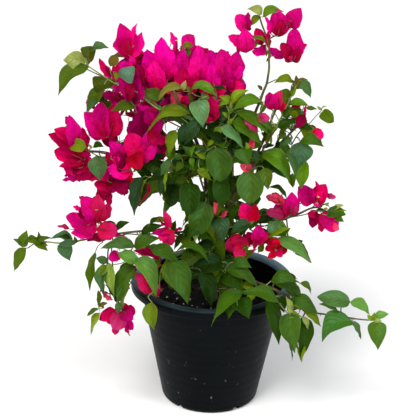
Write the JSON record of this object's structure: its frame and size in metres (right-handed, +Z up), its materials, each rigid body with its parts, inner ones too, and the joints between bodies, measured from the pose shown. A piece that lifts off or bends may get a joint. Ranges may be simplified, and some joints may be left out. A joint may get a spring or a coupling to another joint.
{
  "type": "bougainvillea bush in a nursery pot",
  "caption": "Bushy potted bougainvillea with thin arching woody stems, pointed green leaves and magenta bracts, standing in a round black nursery pot.",
  "frame": {"origin": "middle of the flat underside of the pot", "axes": "+Z up out of the pot; +X to the right and -Y towards the viewer in the front view"},
  "size_m": [0.5697, 0.2997, 0.6192],
  "materials": {
    "black_plastic": "moulded black plastic, semi-matt with a soft sheen, faint turning rings and a little pale dust",
    "potting_mix": "dark moist potting mix with bark crumbs and white perlite grains",
    "bark": "grey-brown ridged bark with pale pores",
    "green_bark": "smooth olive to brown bark of this year's shoots",
    "leaves": "semi-gloss pointed oval leaves from dark to yellow green, softly veined",
    "bracts": "thin papery magenta bracts, redder towards the base, softly veined"
  },
  "bodies": {
    "root": {"pot": "black_plastic", "soil": "potting_mix", "trunk": "bark", "stem_left": "bark", "stem_right": "bark", "stem_whip_lower": "bark", "stem_whip_upper": "green_bark", "bough_arching_left": "green_bark", "bough_left": "bark", "bough_far_left": "green_bark", "bough_top_left": "green_bark", "bough_right_shoulder": "green_bark", "bough_low_left": "bark", "bough_low_left_hanging": "green_bark", "bough_middle_right": "bark", "bough_low_right": "bark", "bough_front_left": "bark", "bough_back": "bark", "bloom_top_left": "bracts", "bloom_top_centre_left": "bracts", "bloom_top_centre_right": "bracts", "bloom_left_upper": "bracts", "bloom_left_pair": "bracts", "bloom_left_inner": "bracts", "bloom_left_middle": "bracts", "bloom_far_left": "bracts", "bloom_low_left": "bracts", "foliage_top_left_shoot": "leaves", "foliage_upper_left": "leaves", "foliage_upper_centre": "leaves", "foliage_centre": "leaves", "foliage_centre_left": "leaves", "foliage_lower_centre": "leaves", "bloom_whip_left": "bracts", "bloom_whip_right": "bracts", "foliage_right_shoulder": "leaves", "bloom_right_shoulder": "bracts", "foliage_right_upper": "leaves", "foliage_right_inner": "leaves", "bloom_right_inner": "bracts", "bloom_right_middle": "bracts", "foliage_right_lower": "leaves", "foliage_centre_low_right": "leaves", "foliage_low_left_upper": "leaves", "foliage_low_left_inner": "leaves", "foliage_low_left_hanging": "leaves", "bloom_low_left_hanging": "bracts", "foliage_left_shoot": "leaves", "foliage_over_soil": "leaves", "foliage_over_rim": "leaves", "foliage_low_right_upper": "leaves", "foliage_low_right_hanging": "leaves", "foliage_right_shoot": "leaves", "foliage_back_upper_left": "leaves", "foliage_back_upper_right": "leaves", "foliage_back_centre": "leaves", "foliage_back_left": "leaves", "foliage_back_right": "leaves", "foliage_back_low": "leaves"}
  },
  "joints": []
}
